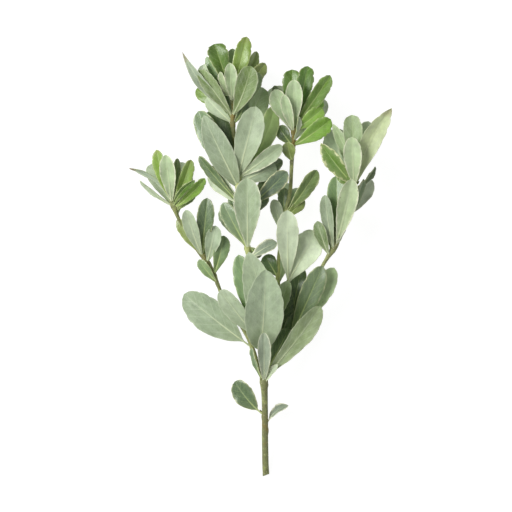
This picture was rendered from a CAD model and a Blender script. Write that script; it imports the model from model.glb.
# %% [markdown]
# # A cut branch of variegated pittosporum
#
# Florists sell this shrub as foliage: a woody stem that forks into leafy shoots, each with rosettes of
# thick, round-tipped, cream-edged leaves. This branch lies on a pale surface and the camera looks straight
# down on it. The cut end points to -Y, the longest shoot to +Y, and up is +Z.
#
# The CAD frame holds the branch as plain solids, one for each leafy stem. Here each of them is replaced by
# finer pieces that keep its form: a leaf is a closed, thick surface with a midrib, side veins and a rippled
# rim, and the wood is a tube with leaf cushions, scars and a cut face.

# %% Frame
import math
from dataclasses import dataclass

import bpy
import numpy as np
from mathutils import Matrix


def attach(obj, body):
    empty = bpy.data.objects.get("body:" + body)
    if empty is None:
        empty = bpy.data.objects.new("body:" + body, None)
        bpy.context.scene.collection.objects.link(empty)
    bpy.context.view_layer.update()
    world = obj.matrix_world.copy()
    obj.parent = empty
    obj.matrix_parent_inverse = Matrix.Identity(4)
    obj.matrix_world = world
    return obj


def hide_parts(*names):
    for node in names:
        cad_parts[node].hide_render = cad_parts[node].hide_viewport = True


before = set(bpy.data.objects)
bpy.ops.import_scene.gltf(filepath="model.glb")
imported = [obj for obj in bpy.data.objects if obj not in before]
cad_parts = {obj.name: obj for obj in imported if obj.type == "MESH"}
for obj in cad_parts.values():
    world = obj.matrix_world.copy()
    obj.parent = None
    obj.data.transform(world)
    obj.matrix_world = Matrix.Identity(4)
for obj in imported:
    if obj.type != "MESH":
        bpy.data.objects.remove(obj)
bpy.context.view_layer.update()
MM = 0.001
print("nodes", sorted(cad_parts))

# %% [markdown]
# ## Camera
#
# The picture is a product shot from straight above. The camera stands far away with a long lens, so that
# near and far leaves keep one scale. An orthographic camera would do that too, but a real one can't, and a
# little perspective lets the tall leaves lean outwards. The view transform is Standard, because the usual
# one is made for bright scenes and would grey the white ground.

# %% Camera
FRAME_WIDTH = 0.5632
FRAME_CENTRE = (-0.0044, 0.0033)
LEAF_HEIGHT = 0.045
LENS = 200.0
SENSOR = 36.0


def placed(name, data):
    """An object for this data, linked to the scene and standing at the origin."""
    made = bpy.data.objects.new(name, data)
    bpy.context.scene.collection.objects.link(made)
    return made


def camera_above():
    """A camera that looks straight down, so far away that the frame is FRAME_WIDTH at leaf height."""
    data = bpy.data.cameras.new("camera")
    data.lens = LENS
    data.sensor_width = SENSOR
    made = placed("camera", data)
    distance = FRAME_WIDTH * LENS / SENSOR
    made.location = (*FRAME_CENTRE, LEAF_HEIGHT + distance)
    bpy.context.scene.camera = made
    return distance


bpy.context.scene.view_settings.view_transform = "Standard"
print("camera distance in m", round(camera_above(), 2))

# %% [markdown]
# ## Light and floor
#
# Most of the light comes from one large lamp at the upper left. Its size keeps the shadows soft, and its
# side gives each leaf a bright and a dull half, and the glossy ones a highlight. A dim white sky fills the
# hollows, and a weak lamp on the other side lifts the leaves that face away.
#
# The ground of such a picture is pure white. A white card would need so much light that the leaves wash
# out, and it would show every shadow. So the floor is a light table: an opal sheet with light behind it,
# which glows by itself. It lets most light through, so it reflects little and shows only faint shadows.

# %% Light and floor
SKY_STRENGTH = 0.25
FLOOR_SIZE = 6.0
FLOOR_COLOUR = "#767676"
FLOOR_GLOW = 0.925
LAMPS = {
    # name: (place in metres, size in metres, power in watts)
    "key": ((-1.3, 0.4, 1.5), 1.2, 43.0),
    "fill": ((1.2, -0.5, 1.6), 1.4, 5.0),
}


def linear(code, gain=1.0):
    """Linear RGBA of an sRGB hex colour: c / 12.92 where c is small, else ((c + 0.055) / 1.055) ** 2.4."""
    c = np.array([int(code[i : i + 2], 16) for i in (1, 3, 5)]) / 255.0
    c = np.where(c <= 0.04045, c / 12.92, ((c + 0.055) / 1.055) ** 2.4) * gain
    return (*c.tolist(), 1.0)


def new_material(name):
    """A material that has nodes, its node tree, and the shader that the tree starts with."""
    made = bpy.data.materials.new(name)
    made.use_nodes = True
    return made, made.node_tree, made.node_tree.nodes["Principled BSDF"]


def lamp(name, place, size, power):
    """A square area lamp that points at the branch."""
    data = bpy.data.lights.new(name, "AREA")
    data.size = size
    data.energy = power
    x, y, z = place
    made = placed(name, data)
    made.location = place
    made.rotation_euler = (math.atan2(math.hypot(x, y), z), 0.0, math.atan2(y, x) + math.pi / 2)


def sky(strength):
    """An even white sky."""
    world = bpy.data.worlds.new("sky")
    world.use_nodes = True
    background = world.node_tree.nodes["Background"]
    background.inputs["Color"].default_value = linear("#ffffff")
    background.inputs["Strength"].default_value = strength
    bpy.context.scene.world = world


def light_table():
    """The surface that the branch lies on, a square at z = 0."""
    half = FLOOR_SIZE / 2
    corners = [(-half, -half, 0.0), (half, -half, 0.0), (half, half, 0.0), (-half, half, 0.0)]
    mesh = bpy.data.meshes.new("floor")
    mesh.from_pydata(corners, [], [(0, 1, 2, 3)])
    # Opal acrylic with light behind it: an even white with no grain and no highlight
    acrylic, _, shader = new_material("opal_acrylic")
    shader.inputs["Base Color"].default_value = linear(FLOOR_COLOUR)
    shader.inputs["Roughness"].default_value = 0.9
    shader.inputs["Specular IOR Level"].default_value = 0.1
    shader.inputs["Emission Color"].default_value = linear("#ffffff")
    shader.inputs["Emission Strength"].default_value = FLOOR_GLOW
    mesh.materials.append(acrylic)
    placed("floor", mesh)


sky(SKY_STRENGTH)
for lamp_name, (lamp_place, lamp_size, lamp_power) in LAMPS.items():
    lamp(lamp_name, lamp_place, lamp_size, lamp_power)
light_table()
print("lamps", list(LAMPS), "floor in linear light", [round(value, 3) for value in linear(FLOOR_COLOUR)])

# %% [markdown]
# ## The plan of the branch
#
# The plan is that of the CAD source: for each leafy stem, points on the centre line of its wood, and a row
# for each leaf. It is written in millimetres and degrees. A leaf's tip is given in the branch's own frame,
# because that is how one reads it from a picture, and a length and an angle from the stem would need sums
# first. Some tips stand a little higher or lower than in the solids, so that fewer leaves cut through each
# other.

# %% Wood, as points on its centre line
# x, y, z and the radius there
MAIN_WOOD = (
    (6.6, -242.0, 3.6, 3.7),
    (6.0, -222.0, 8.5, 3.6),
    (5.6, -190.0, 16.0, 3.5),
    (5.4, -160.0, 23.0, 3.4),
    (4.8, -142.0, 27.0, 3.9),
    (4.2, -134.0, 28.5, 4.4),
    (4.0, -128.0, 29.3, 3.2),
)
TALL_WOOD = (
    (2.2, -111.0, 32.5, 2.8),
    (0.4, -95.0, 35.5, 2.9),
    (-2.2, -67.0, 39.0, 2.5),
    (-8.8, -23.0, 43.0, 2.4),
    (-13.2, 8.0, 46.0, 2.8),
    (-15.4, 26.0, 47.0, 2.4),
    (-20.9, 59.0, 48.5, 2.3),
    (-24.2, 81.0, 50.0, 2.8),
    (-25.3, 103.0, 51.0, 2.3),
    (-27.5, 125.0, 52.0, 2.2),
    (-29.7, 147.0, 53.0, 2.3),
    (-30.8, 169.0, 54.0, 2.2),
    (-31.9, 184.0, 55.0, 1.6),
)
LEFT_WOOD = (
    (-4.6, -110.0, 27.0, 2.3),
    (-8.2, -99.0, 26.5, 2.3),
    (-14.3, -85.0, 26.5, 2.2),
    (-26.4, -65.0, 27.0, 2.1),
    (-39.6, -48.0, 28.5, 2.1),
    (-45.1, -32.0, 30.0, 2.0),
    (-52.8, -12.0, 32.0, 2.2),
    (-60.5, -1.0, 33.5, 2.4),
    (-70.4, 12.0, 35.5, 2.0),
    (-82.5, 32.0, 38.0, 1.8),
    (-90.5, 46.0, 40.0, 1.8),
    (-96.0, 59.0, 42.0, 2.0),
    (-99.0, 70.0, 43.5, 1.4),
)
MIDDLE_WOOD = (
    (10.6, -110.0, 26.0, 2.2),
    (13.2, -89.0, 26.0, 2.1),
    (18.7, -45.0, 29.0, 2.1),
    (19.8, -20.0, 31.0, 2.2),
    (20.9, 3.0, 33.0, 2.0),
    (23.1, 21.0, 34.5, 2.0),
    (28.5, 52.0, 37.0, 2.2),
    (33.3, 76.0, 39.0, 2.1),
    (34.8, 103.0, 41.0, 2.1),
    (36.3, 125.0, 43.0, 2.3),
    (37.4, 144.0, 45.0, 2.0),
    (37.8, 152.0, 46.0, 1.3),
)
PAIR_TWIG = (
    (17.0, -58.0, 28.0, 1.9),
    (24.5, -42.0, 31.0, 1.9),
    (30.0, -27.0, 34.0, 2.0),
    (32.5, -20.0, 36.0, 1.4),
)
RIGHT_WOOD = (
    (21.0, -109.0, 26.5, 2.3),
    (31.0, -93.0, 27.5, 2.4),
    (41.8, -73.0, 30.5, 2.1),
    (57.2, -34.0, 37.5, 2.0),
    (68.2, -9.0, 42.5, 1.9),
    (74.8, 2.0, 44.5, 2.1),
    (82.5, 12.0, 46.5, 2.3),
    (88.0, 26.0, 48.5, 1.9),
    (92.4, 48.0, 50.5, 1.8),
    (99.0, 65.0, 52.0, 1.7),
    (104.5, 81.0, 53.5, 1.9),
    (107.0, 90.0, 54.5, 1.3),
)
FORK = (4.2, -134.0, 28.5)
SHOOTS = {
    "left_shoot": LEFT_WOOD,
    "tall_shoot": TALL_WOOD,
    "middle_shoot": MIDDLE_WOOD,
    "right_shoot": RIGHT_WOOD,
}
lines = {stem: np.array(wood) for stem, wood in SHOOTS.items()}
lines["main_stem"] = np.array(MAIN_WOOD)
lines["pair_twig"] = np.array(PAIR_TWIG)
for stem, line in lines.items():
    print(stem, "length in mm", round(float(np.linalg.norm(np.diff(line[:, :3], axis=0), axis=1).sum())))

# %% [markdown]
# Each leaf has a finish, which says how old it is and which side it shows. On this shrub the upper face is
# glossy green and the underside is matt and grey-green. The leaves in front of the stem show their
# undersides, and the ones behind it their upper faces. Young leaves at the tips are yellow-green. A random
# colour for each leaf would lose that order, so the finishes are named and each row picks one.

# %% Finishes
@dataclass
class Finish:
    """Colours of a leaf's two sides, which of them is up, and its cream margin: width in mm and strength.

    ragged is the depth of the notches in its rim, as a share of its width, and dry how brown its tip is.
    """

    under: str
    upper: str
    under_up: bool
    cream: float = 0.8
    cream_share: float = 0.35
    ragged: float = 0.03
    dry: float = 0.0


FINISHES = {
    "sage": Finish("#9fb08f", "#6f8c4c", True, 0.7, 0.25),
    "dusky": Finish("#8c9d7d", "#6f8c4c", True, 0.7, 0.25),
    "rimmed": Finish("#a0b28c", "#6f8c4c", True, 1.0, 0.65),
    "edged": Finish("#93a38a", "#6f8c4c", True, 1.0, 0.55),
    "dry_edged": Finish("#93a38a", "#6f8c4c", True, 0.8, 0.3, dry=1.0),
    "ashen": Finish("#6f7e69", "#6f8c4c", True, 1.3, 0.8),
    "pale": Finish("#b4c2a3", "#86a45e", True, 0.9, 0.5),
    "milky": Finish("#c8d7b5", "#86a45e", True, 0.8, 0.35),
    "tender": Finish("#adc293", "#86a45e", True, 1.15, 0.7),
    "olive_sage": Finish("#c0d09c", "#86a45e", True, 0.8, 0.4, ragged=0.08, dry=0.6),
    "leafy": Finish("#a9c188", "#7b9850", True, 0.8, 0.35),
    "drab": Finish("#93a877", "#7b9850", True, 0.8, 0.35),
    "moss": Finish("#6c844a", "#7b9850", True, 0.8, 0.35),
    "green": Finish("#93a87c", "#789263", False, 0.8, 0.35),
    "fresh": Finish("#9db07c", "#537826", False, 0.8, 0.4, ragged=0.1),
    "dappled": Finish("#9db07c", "#5a7f2c", False, 2.3, 0.65, ragged=0.1, dry=0.2),
    "grass": Finish("#9db07c", "#64832f", False, 0.8, 0.3, ragged=0.06),
    "bright": Finish("#a2ba80", "#81ae42", False, 0.8, 0.35, ragged=0.1),
    "lime": Finish("#b0c284", "#a5c27a", False, 1.0, 0.5),
    "tip": Finish("#b0c284", "#7c9c3e", False, 0.8, 0.35, ragged=0.07, dry=0.3),
    "olive": Finish("#9aa773", "#7d8e4c", False, 0.8, 0.35),
    "edged_olive": Finish("#9aa773", "#647c42", False, 1.0, 0.55),
    "dull_olive": Finish("#93a387", "#657853", False, 0.9, 0.4),
    "edged_dull": Finish("#93a387", "#5b7150", False, 1.0, 0.55),
    "slate": Finish("#8e9f82", "#6f8562", False, 0.9, 0.5),
    "blue": Finish("#8e9f82", "#5d735b", False, 1.2, 0.75),
    "dark": Finish("#7d9068", "#50653f", False, 0.8, 0.4),
    "deep": Finish("#677953", "#4d643e", False, 0.7, 0.25),
}
print("finishes", len(FINISHES), "with their undersides up", sum(each.under_up for each in FINISHES.values()))

# %% Leaves, as rows
@dataclass
class Leaf:
    """One leaf: its finish, the y of its root on its stem, its tip (x, y, and z above the root), its width.

    bow lifts the middle of the blade, roll turns its face about its length (0 faces up), fold lifts both
    edges over the midrib, wave ripples the edge, taper sharpens the tip (0.5 is round), sweep bends the
    blade sideways, base sharpens its lower end, and stalk is the share of its length that is bare stalk.
    """

    finish: str
    root_y: float
    tip: tuple
    width: float
    bow: float = 4.0
    roll: float = 0.0
    fold: float = 12.0
    wave: float = 0.7
    taper: float = 0.55
    sweep: float = 0.0
    base: float = 1.35
    stalk: float = 0.0


MAIN_LEAVES = (
    Leaf("edged_dull", -174, (-27, -136, 4), 24, 3, 12, 14, 1.2, 0.5, -2, 0.8, 0.22),
    Leaf("ashen", -190, (31, -163, 2), 14, 3, 50, 20, 0.7, 0.5, -3, 1.0, 0.3),
    Leaf("edged", -138, (4, -81, 32), 16, 4, -5, 22),
    Leaf("slate", -136, (-9, -98, 17), 10, 2, 55, 25),
    Leaf("pale", -138, (20, -117, 16), 9, 1, 40, 25),
    Leaf("deep", -126, (31, -77, 9), 22, 4, -18, 10),
    Leaf("drab", -131, (65, -53, 30), 27, 6, -22, 14, 1.0),
)
TALL_LEAVES = (
    # The large leaves at its foot
    Leaf("sage", -101, (6, -13, 50), 44, 6, -6, 15, 1.0, 0.6, base=0.7),
    Leaf("sage", -95, (-12, 6, 34), 34, 5, 8, 10, 1.0, 0.7, 7, base=1.0),
    Leaf("green", -90, (-23, 3, 18), 23, 4, 14, 10),
    Leaf("sage", -88, (-43, -35, 12), 23, 5, 16, 12),
    Leaf("dark", -104, (-10, -72, 4), 13, 2, -10),
    # The first whorl
    Leaf("rimmed", 10, (-14, 87, 24), 31, 5, 0, 14, 1.0),
    Leaf("slate", 12, (-40, 61, 5), 19, 4, 12, 14),
    Leaf("dark", 14, (-32, 69, -6), 14, 3, 10),
    Leaf("dark", 14, (1, 3, -2), 10, 1, -10),
    Leaf("ashen", 0, (18, 18, 2), 16, 3, 24, 16),
    Leaf("dark", 46, (8, 70, -2), 15, 3, -10),
    Leaf("dark", 42, (14, 92, -7), 19, 3, -10),
    # The second whorl
    Leaf("dusky", 79, (-61, 156, 16), 29, 6, 8, 14, 1.0, 0.8, base=0.9),
    Leaf("slate", 84, (-67, 161, 0), 28, 4, 20, 16, 1.2),
    Leaf("deep", 104, (-56, 162, -13), 27, 4, -12, 10),
    Leaf("sage", 89, (-5, 165, 22), 31, 6, -4, 14, 1.0, base=1.15),
    Leaf("rimmed", 89, (23, 124, 8), 18, 4, -14, 14, 1.0),
    Leaf("dusky", 84, (17, 102, -3), 22, 3, -4, 10),
    Leaf("dark", 82, (24, 108, -8), 16, 3, -10),
    Leaf("lime", 87, (15, 166, -9), 22, 4, -6, 16, 0.9, 0.5, 6),
    Leaf("blue", 50, (29, 95, 6), 20, 4, -8, 14, 1.0, stalk=0.2),
    Leaf("dark", 60, (-66, 112, 4), 14, 3, 30, 20),
    Leaf("pale", 64, (-51, 103, -1), 14, 3, 30, 24),
    Leaf("pale", 60, (-56, 92, -9), 14, 3, 26, 20),
    # The top rosette
    Leaf("moss", 157, (-66, 206, 12), 18, 6, 4, 18, 0.8),
    Leaf("deep", 152, (-46, 190, 0), 15, 3, 4),
    Leaf("dry_edged", 164, (-84, 225, 15), 13, 3, 20, 22, 0.8, 1.1, -5, base=1.2),
    Leaf("grass", 164, (-70, 186, -16), 17, 3, 12, 14),
    Leaf("sage", 149, (-58, 177, -6), 17, 3, 14, 16),
    Leaf("fresh", 180, (-50, 234, 8), 24, 4, -8, 18, 2.0, 0.28),
    Leaf("green", 176, (-58, 221, 3), 13, 3, 40, 24),
    Leaf("pale", 176, (-60, 213, 8), 11, 3, 40, 24, 1.2, 0.5, -4),
    Leaf("tender", 174, (-43, 204, 14), 10, 2, 30, 30),
    Leaf("tender", 172, (-33, 213, 20), 15, 3, -6, 20),
    Leaf("green", 178, (-30, 230, -2), 15, 3, 6, 16),
    Leaf("tip", 177, (-15, 242, 8), 19, 4, -4, 16, 0.9),
    Leaf("olive", 172, (5, 214, 2), 18, 3, -24, 24, 1.2),
    Leaf("olive", 171, (-4, 227, -4), 16, 3, -30, 20),
    Leaf("moss", 157, (-10, 209, 26), 25, 5, -4, 16, 0.9, 0.5, 2),
    Leaf("green", 160, (-1, 203, 9), 18, 4, -26, 16),
    Leaf("slate", 148, (-14, 176, -4), 13, 3, -30, 16),
    Leaf("drab", 122, (3, 188, -20), 27, 5, -10, 14, 1.0),
)
LEFT_LEAVES = (
    Leaf("dusky", -98, (-83, -40, -8), 39, 5, 10, 16, 1.0, 0.6, base=0.85, stalk=0.14),
    # The half-way rosette
    Leaf("olive", 6, (-90, 44, 4), 14, 3, 26, 16),
    Leaf("dark", 4, (-58, 66, 18), 21, 4, -2, 24),
    Leaf("sage", 3, (-81, 53, 20), 17, 4, 12, 16),
    Leaf("sage", -4, (-49, 36, 14), 18, 4, -8, 14),
    Leaf("green", -17, (-40, 25, 5), 19, 4, -14, 16),
    Leaf("green", -26, (-67, -1, 8), 13, 2, 26),
    # The end rosette
    Leaf("dry_edged", 62, (-143, 99, 6), 9, 2, 55, 24, 0.7, 0.7, 11),
    Leaf("sage", 58, (-132, 86, -2), 8, 1, 50, 24, 0.5, 0.7),
    Leaf("tip", 64, (-113, 119, 10), 17, 4, 20, 22),
    Leaf("tender", 62, (-103, 113, 24), 18, 4, 2, 16, 0.9),
    Leaf("dark", 64, (-91, 110, 2), 10, 3, -20),
    Leaf("tip", 58, (-76, 108, 12), 16, 4, -18, 22),
    Leaf("fresh", 58, (-72, 86, 20), 10, 6, -30, 20, 0.7, 0.6, -6),
    Leaf("bright", 56, (-61, 88, 8), 14, 4, -24, 18),
    Leaf("fresh", 53, (-69, 79, -2), 12, 3, -30, 20),
)
MIDDLE_LEAVES = (
    Leaf("drab", -76, (31, -25, 16), 18, 3, 10, 18),
    Leaf("deep", -91, (30, -36, 8), 26, 3, -6, base=1.0),
    Leaf("deep", -20, (6, 4, 0), 18, 2, 10),
    Leaf("pale", 28, (15, 65, 3), 14, 3, -6, 14),
    Leaf("dark", 42, (27, 78, -4), 14, 3, 10),
    Leaf("edged_olive", 50, (62, 97, 10), 19, 4, -22, 18, 1.0),
    Leaf("olive", 46, (48, 66, 0), 14, 3, -20, 16),
    # The end rosette
    Leaf("olive", 108, (30, 128, 12), 16, 2, 10, 20),
    Leaf("dark", 124, (21, 146, -2), 16, 3, 14),
    Leaf("tender", 144, (37, 195, 26), 20, 4, 0, 18, 0.9),
    Leaf("tender", 142, (16, 185, 11), 22, 4, 14, 18, 0.9),
    Leaf("tender", 140, (26, 179, 26), 13, 3, 10, 20),
    Leaf("dark", 140, (16, 190, -2), 14, 3, 12, 14),
    Leaf("fresh", 146, (35, 207, 2), 23, 4, 4, 16, 1.0, 0.45),
    Leaf("fresh", 146, (52, 210, 14), 20, 4, -10, 18, 1.0, 0.4),
    Leaf("grass", 146, (76, 200, 18), 19, 4, -18, 18, 1.4),
    Leaf("bright", 144, (67, 177, 1), 19, 4, -16, 18, 0.9, 0.45),
    Leaf("bright", 142, (68, 165, 8), 20, 4, -20, 16, 0.7, 0.45),
    Leaf("bright", 125, (77, 153, 6), 23, 4, -20, 16, 1.0),
    Leaf("pale", 130, (42, 156, 14), 8, 2, -50, 24),
)
PAIR_LEAVES = (
    Leaf("pale", -24, (30, 52, 30), 25, 5, 2, 10, 1.0),
    Leaf("milky", -26, (61, 30, 10), 33, 5, -4, 10, 1.4),
)
RIGHT_LEAVES = (
    # The broad leaves low down
    Leaf("deep", -104, (46, -60, 6), 26, 4, -10, 10),
    Leaf("deep", -95, (46, -10, -3), 20, 3, 10, 12),
    Leaf("dull_olive", -90, (68, -9, 26), 25, 5, -2, 14, 1.0),
    Leaf("leafy", -86, (81, -11, 14), 25, 4, -12, 12, 1.0),
    # The half-way whorl
    Leaf("moss", 4, (63, 41, 12), 15, 3, 18, 16),
    Leaf("dark", 8, (76, 52, 2), 15, 3, 10),
    Leaf("dusky", 10, (71, 69, 16), 15, 4, 14, 18),
    Leaf("green", 22, (84, 90, 4), 22, 4, 8, 16),
    Leaf("tender", 16, (100, 86, 26), 23, 5, -6, 18, 0.9),
    Leaf("pale", 12, (91, 44, 8), 9, 2, -40, 24),
    Leaf("slate", 40, (113, 87, 8), 14, 3, -56, 20),
    Leaf("pale", 44, (123, 86, -6), 17, 4, -24, 14),
    # The end rosette
    Leaf("tender", 78, (100, 132, 28), 21, 4, 4, 16, 0.9),
    Leaf("drab", 86, (100, 156, 14), 22, 4, 0, 16, 0.9, 0.4),
    Leaf("drab", 84, (80, 147, 4), 14, 4, 16, 20, 0.7, 0.8, 4),
    Leaf("dappled", 80, (67, 126, 12), 21, 5, 20, 20, 1.3, 0.85),
    Leaf("grass", 78, (86, 98, 3), 15, 3, 24, 16),
    Leaf("pale", 80, (119, 150, -3), 21, 4, -10, 16, 1.0, 0.5, -3),
    Leaf("olive_sage", 80, (143, 163, 22), 24, 5, -10, 18, 1.0, 0.9, -7),
    Leaf("dark", 76, (126, 101, 2), 12, 3, -56, 24),
)
PLACED_LEAVES = {
    "main_stem": MAIN_LEAVES,
    "left_shoot": LEFT_LEAVES,
    "tall_shoot": TALL_LEAVES,
    "middle_shoot": MIDDLE_LEAVES,
    "right_shoot": RIGHT_LEAVES,
}
print("leaves placed by hand", {stem: len(rows) for stem, rows in PLACED_LEAVES.items()})
print("and on the twig", len(PAIR_LEAVES))

# %% [markdown]
# Under each whorl hang leaves that no picture from above shows. They could be placed by hand too, but nothing
# says where, so a rule gives them: a turn about the stem, a lean away from it, and a small seeded draw. The
# seed makes the draw the same each time that the file runs.

# %% Leaves under the whorls
DIRECTION_SPAN = 4.0
DROOP_LEAN = 46.0
LEAN_SPREAD = 4.0
ROLL_SPREAD = 12.0
DROOP_BOW = 4.0
DROOP_WIDTH = 0.36
DROOP_STEP = 4.0
DROOP_SEED = 7
PAIR_NUMBER = 60
WHORLS_BELOW = {
    # y of the whorl, the length of its leaves, and their turns in degrees from straight down towards +X
    "main_stem": (),
    "left_shoot": ((0, 48, (12, 42)), (56, 68, (-6, 14, 36))),
    "tall_shoot": (
        (-92, 56, (-6, 14)),
        (12, 62, (-30, -4)),
        (84, 68, (-32, 0, 32)),
        (160, 84, (-26, 2, 28)),
    ),
    "middle_shoot": ((-30, 42, (15,)), (46, 50, (-15, 20)), (138, 70, (-28, 5, 35))),
    "right_shoot": ((-84, 48, (20,)), (10, 60, (-52, -32)), (70, 86, (-42, -22))),
}


def at_height(line, y):
    """The point of a centre line at this y, and the stem's direction there, from points 4 mm either way."""
    point, ahead, behind = (
        np.array([np.interp(place, line[:, 1], line[:, axis]) for axis in range(3)])
        for place in (y, y + DIRECTION_SPAN, y - DIRECTION_SPAN)
    )
    along = ahead - behind
    return point, along / np.linalg.norm(along)


def drooping_leaves(stem):
    """Leaves under each whorl: reach = length * (along * cos(lean) + outward * sin(lean)), turned about."""
    draw = np.random.default_rng(DROOP_SEED + len(stem))
    made = []
    for y, length, turns in WHORLS_BELOW[stem]:
        for index, turn in enumerate(turns):
            root_y = y - DROOP_STEP * index
            root, along = at_height(lines[stem], root_y)
            side = np.cross(along, (0, 0, 1))
            side /= np.linalg.norm(side)
            down = np.cross(along, side)
            lean = math.radians(DROOP_LEAN + draw.uniform(-LEAN_SPREAD, LEAN_SPREAD))
            outward = side * math.sin(math.radians(turn)) + down * math.cos(math.radians(turn))
            reach = length * (along * math.cos(lean) + outward * math.sin(lean))
            tip = (root[0] + reach[0], root[1] + reach[1], reach[2])
            roll = draw.uniform(-ROLL_SPREAD, ROLL_SPREAD)
            finish = ("sage", "green")[index % 2]
            made.append(Leaf(finish, root_y, tip, DROOP_WIDTH * length, DROOP_BOW, roll))
    return made


def leaves_of(stem):
    """Each leaf of a stem with its number and its root on the centre line that it grows from."""
    own = [*PLACED_LEAVES[stem], *drooping_leaves(stem)]
    rows = [(stem, number, leaf) for number, leaf in enumerate(own)]
    if stem == "middle_shoot":
        rows += [("pair_twig", number, leaf) for number, leaf in enumerate(PAIR_LEAVES, PAIR_NUMBER)]
    return [(number, leaf, at_height(lines[carrier], leaf.root_y)[0]) for carrier, number, leaf in rows]


print("leaves in all", {stem: len(leaves_of(stem)) for stem in PLACED_LEAVES})

# %% [markdown]
# ## The form of a leaf
#
# The leaf is a blade on a short stalk: a wedge at its base, widest near the end, and round at the tip. One
# could model it as a flat card, but its thickness, its fold along the midrib and its rippled rim are what
# make it read as this shrub. So it is a surface worked out from two parameters: t along the leaf, from 0 at
# the root to 1 at the tip, and s across it, from -1 to 1.

# %% A leaf's outline and its own axes
TIP_ROUND = 0.025
FLOOR_CLEARANCE = 0.45


def blade_shape(t, leaf):
    """The share of the full width at t: (u / p) ** base * ((1 - u) / (1 - p)) ** taper, past the stalk."""
    u = np.clip((t - leaf.stalk) / (1 - leaf.stalk), 0, 1)
    widest = leaf.base / (leaf.base + leaf.taper)
    return (u / widest) ** leaf.base * ((1 - u) / (1 - widest)) ** leaf.taper


def leaf_axes(leaf, root):
    """A leaf's length and axes: forward to the tip, level across it, and side and face after its roll."""
    tip = np.array([leaf.tip[0], leaf.tip[1], root[2] + leaf.tip[2]])
    tip[2] = max(tip[2], FLOOR_CLEARANCE)
    length = np.linalg.norm(tip - root)
    forward = (tip - root) / length
    level = np.cross(forward, (0, 0, 1))
    level /= np.linalg.norm(level)
    above = np.cross(level, forward)
    roll = math.radians(leaf.roll)
    side = level * math.cos(roll) + above * math.sin(roll)
    face = above * math.cos(roll) - level * math.sin(roll)
    return length, forward, level, side, face


_, largest, largest_root = leaves_of("tall_shoot")[0]
print("largest leaf in mm", round(float(leaf_axes(largest, largest_root)[0])), "by", largest.width)

# %% [markdown]
# A live blade is never flat. Its midrib arches, its halves fold up from the midrib, its rim ripples and
# curls, and its outline has faint waves and small notches. Sculpting would give that for one leaf, but there
# are 133. Here each of these is one term of a sum, and a wave starts at another place on each leaf and on
# each half, so that no two leaves match.

# %% The middle surface of a leaf
PETIOLE_WIDTH = 2.4
# A blade ends a little past the tip in its row, because its last bit is too narrow to see
TIP_REACH = 1.02
CREASE = 0.05
RIM_WAVE_HEIGHT = 0.25
RIM_CURL_FROM = 0.7
OUTLINE_SHARE = 0.015
NOTCH_FROM = 0.35
# Waves along a leaf, and how far each one is turned by the leaf's number and by its side, in radians
RIPPLE = (2.5, 2.4, 1.3)
RIM_RIPPLE = (7.0, 1.7, 2.1)
OUTLINE_WAVE = (6.0, 1.0, 2.0)
NOTCHES = (8.0, 1.3, 2.4)


def own_wave(wave, t, number, side):
    """A wave that is the leaf's and the half's own: sin(2 * pi * waves * t + turn * number + turn * side)."""
    waves, leaf_turn, side_turn = wave
    return np.sin(2 * np.pi * waves * t + leaf_turn * number + side_turn * side)


def leaf_middle(leaf, root, number, t, s, rim_lift):
    """Points of the middle surface on the grid t by s, with the half width, blade share and length.

    Along: t * length * TIP_REACH. Across: s * half width * cos(fold), where the half width is the stalk's,
    times (1 - t) squared, plus the blade's, with a faint wave and rounded notches, max(sin, 0) cubed, in its
    outline. Lift: an arch 4 * bow * t * (1 - t), plus the fold, a rounded |s| * half width * sin(fold), plus
    two ripples that grow towards the rim, plus the rim's own curl. Sweep moves the blade sideways by
    4 * sweep * t * (1 - t). To round the tip, t is less towards the rim by TIP_ROUND * s ** 2 * t ** 8.
    """
    length, forward, level, side, face = leaf_axes(leaf, root)
    which_half = np.sign(s)
    t = t[:, None] * (1 - TIP_ROUND * s**2 * t[:, None] ** 8)
    share = blade_shape(t, leaf)
    notch = np.maximum(own_wave(NOTCHES, t, number, which_half), 0) ** 3
    notch = notch * np.clip((t - NOTCH_FROM) / (1 - NOTCH_FROM), 0, 1)
    outline = 1 + OUTLINE_SHARE * own_wave(OUTLINE_WAVE, t, number, which_half)
    outline = outline - 2 * FINISHES[leaf.finish].ragged * notch
    half = PETIOLE_WIDTH / 2 * (1 - t) ** 2 + leaf.width / 2 * share * outline
    fold = math.radians(leaf.fold)
    bent = np.sqrt(s**2 + CREASE**2) - CREASE
    ripple = leaf.wave * s**2 * own_wave(RIPPLE, t, number, s)
    rim_ripple = RIM_WAVE_HEIGHT * s**6 * own_wave(RIM_RIPPLE, t, number, which_half)
    curl = np.maximum(np.abs(s) - RIM_CURL_FROM, 0) / (1 - RIM_CURL_FROM)
    arch = 4 * leaf.bow * t * (1 - t)
    lift = arch + bent * half * math.sin(fold) + share * (ripple + rim_ripple + rim_lift * curl**2)
    points = (
        root
        + (t * length * TIP_REACH)[..., None] * forward
        + (4 * t * (1 - t) * leaf.sweep)[..., None] * level
        + (s * half * math.cos(fold))[..., None] * side
        + lift[..., None] * face
    )
    points[..., 2] = np.maximum(points[..., 2], FLOOR_CLEARANCE)
    return points, half, share, length


middle, *_ = leaf_middle(largest, largest_root, 0, np.linspace(0, 1, 9), np.linspace(-1, 1, 5), 0.0)
print("highest point of the largest leaf in mm", round(float(middle[..., 2].max()), 1))

# %% [markdown]
# ## Thickness, midrib and veins
#
# The blade is 0.75 mm thick with a rounded rim. The stalk runs on as the midrib, which stands out on the
# underside and lies in a shallow groove on the upper side. Seven pairs of side veins slant forward from it.
# Solidify could give the thickness, but not a rib on one side only, so both faces are offset from the middle
# surface by their own height. The columns crowd together at the midrib and at the rim, where the relief is.

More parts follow.
